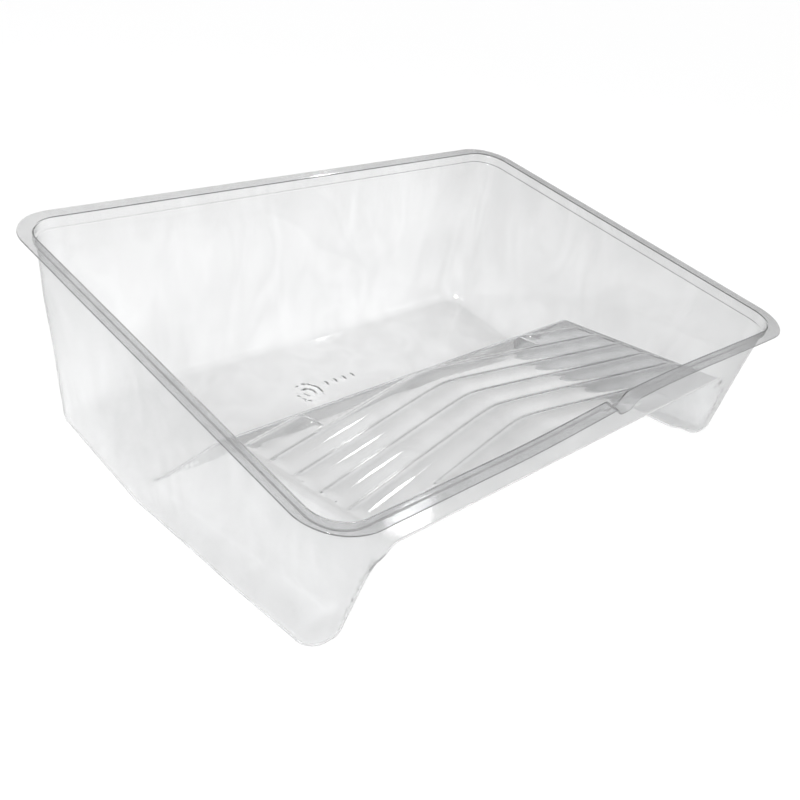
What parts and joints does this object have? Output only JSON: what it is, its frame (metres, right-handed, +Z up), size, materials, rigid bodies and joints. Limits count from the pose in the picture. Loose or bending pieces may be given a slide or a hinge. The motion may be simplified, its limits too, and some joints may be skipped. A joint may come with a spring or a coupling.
{
  "type": "paint roller tray",
  "caption": "Clear deep-well paint roller tray: ribbed roll-off ramp, wide sloping well, flat flanged rim with a notch, two hollow legs.",
  "frame": {"origin": "on the ground under the middle of the tray's box, as it stands on its two keels", "axes": "+X across the tray to its right, +Y from the ramp to the well, +Z up; the rim climbs 12.3 degrees towards +Y"},
  "size_m": [0.406, 0.285, 0.1471],
  "materials": {
    "clear_sheet": "clear high gloss, thermoformed"
  },
  "bodies": {
    "root": {"rim_back": "clear_sheet", "rim_left": "clear_sheet", "rim_right": "clear_sheet", "rim_corner_back_left": "clear_sheet", "rim_corner_back_right": "clear_sheet", "rim_corner_front_left": "clear_sheet", "rim_corner_front_right": "clear_sheet", "rim_front_left": "clear_sheet", "rim_notch": "clear_sheet", "rim_front_right": "clear_sheet", "wall_back": "clear_sheet", "wall_left": "clear_sheet", "wall_right": "clear_sheet", "wall_corner_left": "clear_sheet", "wall_corner_right": "clear_sheet", "leg_corner_left": "clear_sheet", "leg_corner_right": "clear_sheet", "leg_front_left": "clear_sheet", "leg_front_right": "clear_sheet", "leg_inner_left": "clear_sheet", "leg_inner_right": "clear_sheet", "leg_keel_left": "clear_sheet", "leg_keel_right": "clear_sheet", "apron": "clear_sheet", "ramp_left": "clear_sheet", "ramp_right": "clear_sheet", "ramp_drop": "clear_sheet", "well_floor": "clear_sheet"}
  },
  "joints": []
}
